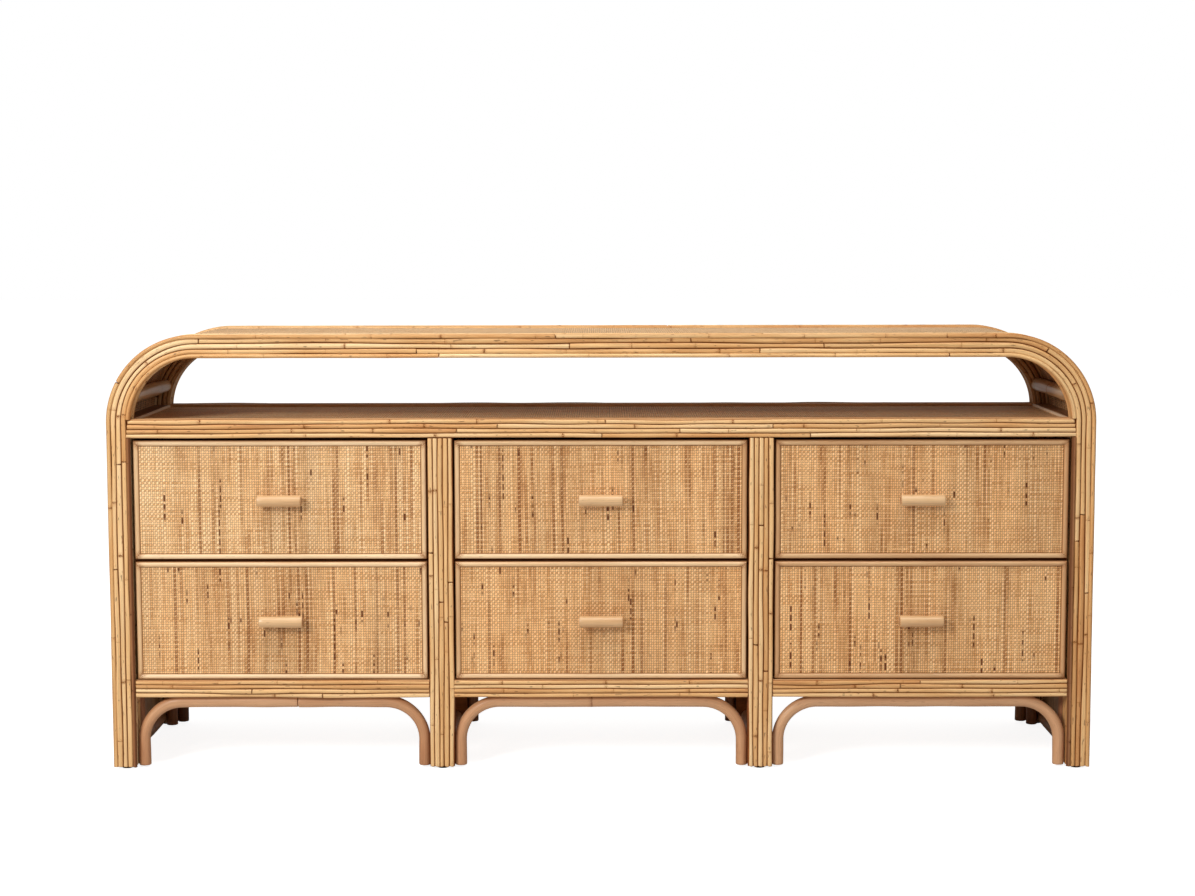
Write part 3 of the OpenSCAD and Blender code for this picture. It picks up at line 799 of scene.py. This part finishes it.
def turned(shape, centre, axis, profile, sides=40, slot=0, **data):
    """A solid of revolution. profile is (distance along the axis, radius), from one pole to the other."""
    axis = np.array(axis, float)
    first = np.array([0, 0, 1.0]) if abs(axis[2]) < 0.5 else np.array([1.0, 0, 0])
    second = np.cross(axis, first)
    t = np.linspace(0, 2 * pi, sides, endpoint=False)
    around = np.cos(t)[:, None] * first + np.sin(t)[:, None] * second
    rings = np.array([np.array(centre) + axis * a + around * r for a, r in profile])
    shape.add(rings, swept_faces(len(profile), sides, True), slot, **data)


GLIDE_PROFILE = [(0, 0.0072), (0, 0.0088), (0.0003, 0.0096), (0.0009, 0.01), (GLIDE_H, 0.01)]
shape = Shape()
for x in (-LEG_X, -POST_X, POST_X, LEG_X):
    for y in (FRONT_Y + FRAME_W / 2, REAR_Y - FRAME_W / 2):
        turned(shape, (x, y, 0), (0, 0, 1), GLIDE_PROFILE)
shape.build("glide_discs", [M_GLIDE], "foot_glides", "glide_plastic")

# --- Woven mattings ---

WARP_MEAN, WEFT_MEAN = 3.9 * MM, 4.4 * MM


def strands(length, mean, spread, seed):
    """Edges of strands of uneven width that fill a length."""
    local = default_rng(seed)
    count = max(2, round(length / mean))
    widths = np.clip(1 + spread * local.normal(size=count), 0.5, 1.7)
    edges = np.concatenate([[0], np.cumsum(widths)])
    return edges / edges[-1] * length


def samples(edges, per_strand):
    """Sample places and strand numbers, per_strand to a strand. A single one is at the strand's middle."""
    if per_strand == 1:
        where = np.concatenate([[edges[0]], (edges[1:] + edges[:-1]) / 2, [edges[-1]]])
        number = np.concatenate([[0.02], np.arange(len(edges) - 1) + 0.5, [len(edges) - 1.02]])
        return where, number
    steps = np.arange(per_strand) / per_strand
    where = (edges[:-1, None] + (edges[1:] - edges[:-1])[:, None] * steps).ravel()
    number = (np.arange(len(edges) - 1)[:, None] + steps).ravel()
    return np.append(where, edges[-1]), np.append(number, len(edges) - 1)


def relief(u, v, amount):
    """Height of the woven surface over its lowest level, at strand numbers u and v."""
    iu = np.floor(u + 1e-6)
    fu = u - iu
    from_warp = np.abs((v + iu + LEAN * (fu - 0.5) - 0.5) % 2 - 1)
    across = np.clip(np.sin(pi * fu), 0, 1)
    warp = across ** 0.5 * (0.4 + 0.6 * np.clip(1 - (from_warp / WARP_SHOWS) ** 2, 0, 1) ** 0.5)
    weft = np.clip(1 - ((1 - from_warp) / (1 - WARP_SHOWS)) ** 2, 0, 1) ** 0.5 * (0.5 + 0.5 * across)
    return amount * np.where(from_warp < WARP_SHOWS, warp, weft * 0.8)


def matting(shape, place, width, height, thick, seed, per=(3, 3), amount=0.7 * MM, lengthwise=False,
            tone=0.0):
    """A closed woven sheet. place maps arrays of (across, along, outward) to points. The warps run along, or
    across if they are lengthwise."""
    x, u = samples(strands(width, WARP_MEAN, 0.17, seed), per[0])
    y, v = samples(strands(height, WEFT_MEAN, 0.08, seed + 1), per[1])
    X, Y = np.meshgrid(x, y, indexing="xy")
    U, V = np.meshgrid(u, v, indexing="xy")
    if lengthwise:
        U, V = V, U
    rim = (X <= x[0]) | (X >= x[-1]) | (Y <= y[0]) | (Y >= y[-1])
    lift = np.where(rim, 0.3 * amount, relief(U, V, amount))
    local = default_rng(seed + 2)  # the strands of a hand-woven sheet wander a little

    def drift(along, slow, faster, most):
        return most * sum(local.normal() * np.sin(along * (slow + faster * k) + local.uniform(0, 6))
                          for k in range(3))

    Xs = np.where(rim, X, X + drift(Y, 9, 6, 0.35 * MM) * np.sin(pi * X / width))
    Ys = np.where(rim, Y, Y + drift(X, 5, 4, 0.45 * MM) * np.sin(pi * Y / height))
    rows, cols = X.shape
    edge = [0, -1]  # the back is one row of long strips
    top = place(Xs, Ys, lift - amount)
    under = place(X[edge], Y[edge], np.full((2, cols), -thick))
    weave = np.stack([U, V, np.full_like(U, (seed % 97) * 0.61)], -1)
    n = rows * cols
    c = np.arange(cols - 1)
    last = (rows - 1) * cols
    side = np.arange(rows) * cols
    faces = [grid_faces(rows, cols),
             np.stack([n + c, n + cols + c, n + cols + c + 1, n + c + 1], -1),  # the sheet's back
             np.stack([c + 1, c, n + c, n + c + 1], -1),  # its two long edges
             np.stack([last + c, last + c + 1, n + cols + c + 1, n + cols + c], -1),
             np.concatenate([side, [n + cols, n]])[None],  # and its two short ones
             np.concatenate([(side + cols - 1)[::-1], [n + cols - 1, n + 2 * cols - 1]])[None]]
    shape.add(np.concatenate([top.reshape(-1, 3), under.reshape(-1, 3)]), faces,
              weave=np.concatenate([weave.reshape(-1, 3), weave[edge].reshape(-1, 3)]), tint=tone)


def flat_place(origin, across, along, outward):
    o, a, b, c = (np.array(v, float) for v in (origin, across, along, outward))
    return lambda x, y, z: o + x[..., None] * a + y[..., None] * b + z[..., None] * c


# --- Drawers ---

SHEET_TONES = ((0.35, 0.0, 0.0), (0.9, 0.15, 0.0))  # how yellow each drawer's matting is, row by row
# the bars are lighter in the left column and darker in the right: painted light, falling off from left to
# right; within a range the tone is random
BAR_TONE_AND_LIGHT = ((0.6, 1.0), (0.3, 0.9), (-0.1, 0.3))  # the range of the bars' tints in each column
UPRIGHT_DARKER = 0.5
MITRE_GAP = 0.12 * MM


def moulding(shape, lo, hi, y, seed, tints):
    """Four mitred half-round bars round a drawer front. y is the plane of their flat side."""
    r = MOULD_W / 2
    (x0, z0), (x1, z1) = lo, hi
    sides = (((x0, z0), (1, 0), (0, 1), x1 - x0), ((x1, z0), (0, 1), (-1, 0), z1 - z0),
             ((x1, z1), (-1, 0), (0, -1), x1 - x0), ((x0, z1), (0, -1), (1, 0), z1 - z0))
    angles = np.linspace(0, pi, 13)
    cols = len(angles)
    depth_in = r - r * np.cos(angles)  # across the bar, from its outer edge to its inner one
    height = r * np.sin(angles)
    for k, (corner, run, inward, length) in enumerate(sides):
        local = default_rng(seed + k)
        steps = max(4, int(length / (12 * MM)))
        t = np.linspace(0, 1, steps)
        # a mitre: each line across the profile is cut where it meets the corner's diagonal
        start, stop = depth_in + MITRE_GAP, length - depth_in - MITRE_GAP
        along = start[None] + (stop - start)[None] * t[:, None]
        wave = wobble(t * length, 0.4, 0.10 * MM, seed + 20 + k)
        swell = 1 + wobble(t * length, 0.23, 0.02, seed + 40 + k)
        run3, in3 = np.array([run[0], 0, run[1]]), np.array([inward[0], 0, inward[1]])
        co = np.array([corner[0], y, corner[1]]) + along[..., None] * run3 + depth_in[None, :, None] * in3
        co[..., 1] -= height[None] * swell[:, None] + wave[:, None] * 0.5 * np.sin(angles)[None]
        seed_value = np.full(along.shape, (seed + k) * 0.77 % 500)
        grain = np.stack([np.broadcast_to(angles * r, along.shape), along, seed_value], -1)
        mark = 0.75 * bell(np.minimum(along - start[None], stop[None] - along), 0.5 * MM)
        # painted shade along the bar's two edges, where it meets the gap and the woven panel
        groove = np.broadcast_to(np.abs(np.cos(angles)) ** 5 * 0.9, along.shape)
        tint = local.uniform(*tints) - UPRIGHT_DARKER * (k % 2)
        shape.add(co, swept_faces(steps, cols, False), grain=grain, tint=tint, mark=mark, groove=groove)


def softened(node, width, material):
    """A CAD node as it is, with a material and its sharp edges rounded."""
    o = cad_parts[node]
    o.data.materials.clear()
    o.data.materials.append(material)
    weld = o.modifiers.new("weld", "WELD")
    weld.merge_threshold = 0.00001
    bevel = o.modifiers.new("bevel", "BEVEL")
    bevel.width = width
    bevel.segments = 2
    bevel.limit_method = "ANGLE"
    bevel.angle_limit = math.radians(35)
    for p in o.data.polygons:
        p.use_smooth = False


SPACER_START = 9 * MM  # from the pole's axis, inside the pole
HEAD_DEPTH = 2.5 * MM
HEAD_PROFILE = [(0, 0.004), (0.0012, 0.0039), (0.002, 0.0033), (0.0024, 0.0024), (0.0024, 0.0011),
                (0.0014, 0.0009)]


def handle(body, seed):
    """A pole with rounded ends on two spacers, and the heads of the two screws that hold it."""
    lo, hi = span(f"{body}_handle")
    x, z = (lo[0] + hi[0]) / 2, (lo[2] + hi[2]) / 2
    axis_y = lo[1] + HANDLE_D / 2
    spacer_l = span(f"{body}_front_matting")[0][1] - axis_y - SPACER_START
    grip = Shape()
    path = line((x - HANDLE_L / 2, axis_y, z), (x + HANDLE_L / 2, axis_y, z), 0)
    cane(grip, path, 0, HANDLE_L, (0, 0), HANDLE_D / 2 - 0.15 * MM, 0.0, False, sides=28, step=4 * MM,
         cap=3.6 * MM, seed=seed, skew=0.0, sway=0.05 * MM, node_every=(0.3, 0.5),
         tint=rng.uniform(0.0, 0.25), node_height=0.1 * MM)
    spacer = [(0, 0.0057), (spacer_l - 0.6 * MM, 0.0060), (spacer_l - 0.1 * MM, 0.0056)]
    for at in (x - SCREW_FROM_MIDDLE, x + SCREW_FROM_MIDDLE):
        turned(grip, (at, axis_y + SPACER_START, z), (0, 1, 0), spacer, slot=1, sides=28, tint=0.3)
        turned(grip, (at, hi[1] - HEAD_DEPTH, z), (0, 1, 0), HEAD_PROFILE, slot=2, sides=24)
    grip.build(f"{body}_grip", [M_PALE, M_PEELED, M_STEEL], f"{body}_handle", "peeled_rattan", body)


for r, row in enumerate(ROWS):
    for c, col in enumerate(COLS):
        body = f"drawer_{row}_{col}"
        key = 40000 + 1000 * r + 300 * c
        lo, hi = span(f"{body}_front_matting")
        sheet = Shape()
        place = flat_place((lo[0], lo[1] + 0.1 * MM, lo[2]), (1, 0, 0), (0, 0, 1), (0, -1, 0))
        matting(sheet, place, hi[0] - lo[0], hi[2] - lo[2], hi[1] - lo[1] - 0.15 * MM, key + 5,
                tone=SHEET_TONES[r][c])
        sheet.build(f"{body}_woven_front", [M_WEAVE], f"{body}_front_matting", "woven_matting", body, 75)
        lo, hi = span(f"{body}_front_moulding")
        bars = Shape()
        moulding(bars, (lo[0], lo[2]), (hi[0], hi[2]), hi[1], key + 50, BAR_TONE_AND_LIGHT[c])
        bars.build(f"{body}_moulding_bars", [M_PALE], f"{body}_front_moulding", "pale_moulding", body)
        handle(body, key + 90)
        softened(f"{body}_front_board", 0.8 * MM, M_FRONT)
        softened(f"{body}_box", 1.0 * MM, M_BOX)

# --- Shell, shelf, lining and back ---

SHEET_T = 1.3 * MM  # the part of a sheet's thickness below its relief
out_lo, out_hi = span("outer_matting")
OUT_OFF = out_hi[0] - LEG_X  # from the pole's middle to the matting's outer face
lin_lo, lin_hi = span("compartment_matting")
LIN_OFF = lin_hi[0] - LEG_X - 1.5 * MM  # to the lining's inner face


def arch_place(path, offset, y0, outward):
    """Maps a sheet round an arch: along the arch, across its depth, and outward."""
    def place(x, y, z):
        centre, out, _ = path.at(x.ravel())
        co = centre + out * (offset + outward * z.ravel())[:, None]
        co[:, 1] = y0 + y.ravel()
        return co.reshape(*x.shape, 3)
    return place


for name, material, node, lo, offset, outward, seed in (
        ("outer_woven_sheet", M_SHELL, "outer_matting", out_lo, OUT_OFF, 1, 61001),
        ("compartment_woven_lining", M_LINING, "compartment_matting", lin_lo, LIN_OFF, -1, 61201)):
    path = ArchPath(LEG_X, ARCH_TOP, BEND_R, lo[2], 0.0)
    sheet = Shape()
    matting(sheet, arch_place(path, offset, lo[1], outward), path.length, out_hi[1] - out_lo[1], SHEET_T,
            seed, per=(1, 1), amount=0.35 * MM, lengthwise=True)
    sheet.build(name, [material], node, "woven_matting", smooth_angle=75)

lo, hi = span("shelf_matting")
sheet = Shape()
place = flat_place((lo[0], lo[1], hi[2]), (1, 0, 0), (0, 1, 0), (0, 0, 1))
matting(sheet, place, hi[0] - lo[0], hi[1] - lo[1], hi[2] - lo[2] - 0.1 * MM, 61401, per=(1, 1),
        amount=0.4 * MM, lengthwise=True)
sheet.build("shelf_woven_sheet", [M_SHELF], "shelf_matting", "woven_matting", smooth_angle=75)

lo, hi = span("back_matting")
sheet = Shape()
for bay in BAYS:
    x0 = bay * PITCH - BAY_W / 2 + END_GAP
    place = flat_place((x0 + BAY_W - 2 * END_GAP, hi[1], lo[2]), (-1, 0, 0), (0, 0, 1), (0, 1, 0))
    matting(sheet, place, BAY_W - 2 * END_GAP, hi[2] - lo[2], hi[1] - lo[1] - 0.1 * MM, 61601 + 10 * bay,
            per=(2, 2), amount=0.5 * MM)
sheet.build("back_woven_sheets", [M_SHELL], "back_matting", "woven_matting", smooth_angle=75)

# --- Pieces that keep their CAD meshes, with the width of their rounded edges in millimetres ---

TRIM_BEAD = span("shelf_edge_trims")[1][0] - 26.3 * MM  # the bead begins where the trim board ends
for material, *groups in (
        (board_material("frame_core", "a05c2e 7a421e", 3.0, 0.7, coat=0.0, specular=0.1),
         (0.8, "front_arch_pole rear_arch_pole centre_posts drawer_dividers")),
        (board_material("rail_wood", "e2b27e c4905e", 2.4, 0.6, coat=0.0, specular=0.2),
         (0.8, "front_rails rear_rails")),
        (board_material("board_long", "cea474 b08456", 2.2),
         (0.4, "top_board"), (0.6, "shelf_board back_panels"), (0.8, "bottom_board")),
        (board_material("board_upright", "c89e70 a87c50", 2.2, axis="z"),
         (0.4, "left_side_board right_side_board"), (0.8, "partitions")),
        (board_material("board_deep", "cca274 ac8054", 2.2, axis="y"), (0.4, "bent_corner_boards")),
        (board_material("runner_wood", "be9262 966c42", 2.6, axis="y"), (0.8, "drawer_runners")),
        (board_material("trim_board", "a8764e 7e5434", 2.6, 0.42, axis="y",
                        bead=(TRIM_BEAD, *tones("f6d6b0"))), (0.8, "shelf_edge_trims"))):
    for width, nodes in groups:
        for node in nodes.split():
            softened(node, width * MM, material)

# --- Floor, light and camera ---

AMBIENT = 0.29
FLOOR_ALBEDO = 0.65
FLOOR_GLOW = 1.0 - 0.6 * AMBIENT * FLOOR_ALBEDO  # makes the floor as white as the backdrop, its shadow pale
FLOOR_HALF = 30.0


def floor():
    mesh = bpy.data.meshes.new("studio_floor")
    corners = [(FLOOR_HALF * x, FLOOR_HALF * y, 0) for x, y in ((-1, -1), (1, -1), (1, 1), (-1, 1))]
    mesh.from_pydata(corners, [], [(0, 1, 2, 3)])
    n = Nodes("studio_floor")
    # the camera sees the floor glow, but the glow doesn't light the dresser from below
    seen = n.new("ShaderNodeLightPath").outputs["Is Camera Ray"]
    n.plug(n.times(seen, FLOOR_GLOW), n.shader.inputs["Emission Strength"])
    mesh.materials.append(n.finish((*[FLOOR_ALBEDO] * 3, 1), 0.9, None, specular_ior_level=0.0,
                                   emission_color=(1, 1, 1, 1)))
    link("studio_floor", mesh)


def area_light(name, place, aim, size, energy, colour=(1, 1, 1)):
    light = bpy.data.lights.new(name, "AREA")
    light.shape = "RECTANGLE"
    light.size, light.size_y = size
    light.energy = energy
    light.color = colour
    o = link(name, light)
    o.location = place
    o.rotation_mode = "QUATERNION"
    o.rotation_quaternion = (Vector(aim) - Vector(place)).to_track_quat("-Z", "Y")


floor()
area_light("key", (-2.5, -3.5, 2.4), (0.1, 0, 0.45), (1.2, 1.0), 107, (1.0, 0.985, 0.96))
area_light("fill", (2.8, -4.0, 1.8), (0, 0, 0.4), (3.0, 2.4), 8, (1.0, 0.99, 0.98))
area_light("overhead", (-0.2, -1.2, 3.4), (0, 0.05, 0.5), (3.2, 1.5), 75)

# The world lights the dresser with AMBIENT, and the camera sees it as white
world = bpy.data.worlds.new("studio")
bpy.context.scene.world = world
world.use_nodes = True
tree = world.node_tree
background = tree.nodes["Background"]
background.inputs["Color"].default_value = (1, 1, 1, 1)
rays = tree.nodes.new("ShaderNodeLightPath")
strength = tree.nodes.new("ShaderNodeMapRange")
strength.inputs["To Min"].default_value = AMBIENT
strength.inputs["To Max"].default_value = 1.0
tree.links.new(rays.outputs["Is Camera Ray"], strength.inputs["Value"])
tree.links.new(strength.outputs[0], background.inputs["Strength"])
bpy.context.scene.view_settings.view_transform = "Standard"

# Camera: fitted to the dresser's own edges, 1195 x 896 pixels
IMAGE_W = 1195
FOCAL_PX = 2165.7
SENSOR_MM = 36.0
CAMERA_PLACE = (0.0091, -4.1153, 0.9763)
PITCH_DOWN, YAW, ROLL = (math.radians(a) for a in (5.546, -0.219, -0.100))
cp, sp, cy, sy, cr, sr = (f(a) for a in (PITCH_DOWN, YAW, ROLL) for f in (math.cos, math.sin))
right = Vector((cy, -sy, 0))
up = Vector((sp * sy, sp * cy, cp))
forward = Vector((cp * sy, cp * cy, -sp))
right, up = right * cr + up * sr, up * cr - right * sr
camera_data = bpy.data.cameras.new("camera")
camera_data.sensor_width = SENSOR_MM
camera_data.lens = FOCAL_PX / IMAGE_W * SENSOR_MM
camera_data.clip_end = 100
camera = link("camera", camera_data)
camera.matrix_world = Matrix((*zip(right, up, -forward, CAMERA_PLACE), (0, 0, 0, 1)))
bpy.context.scene.camera = camera
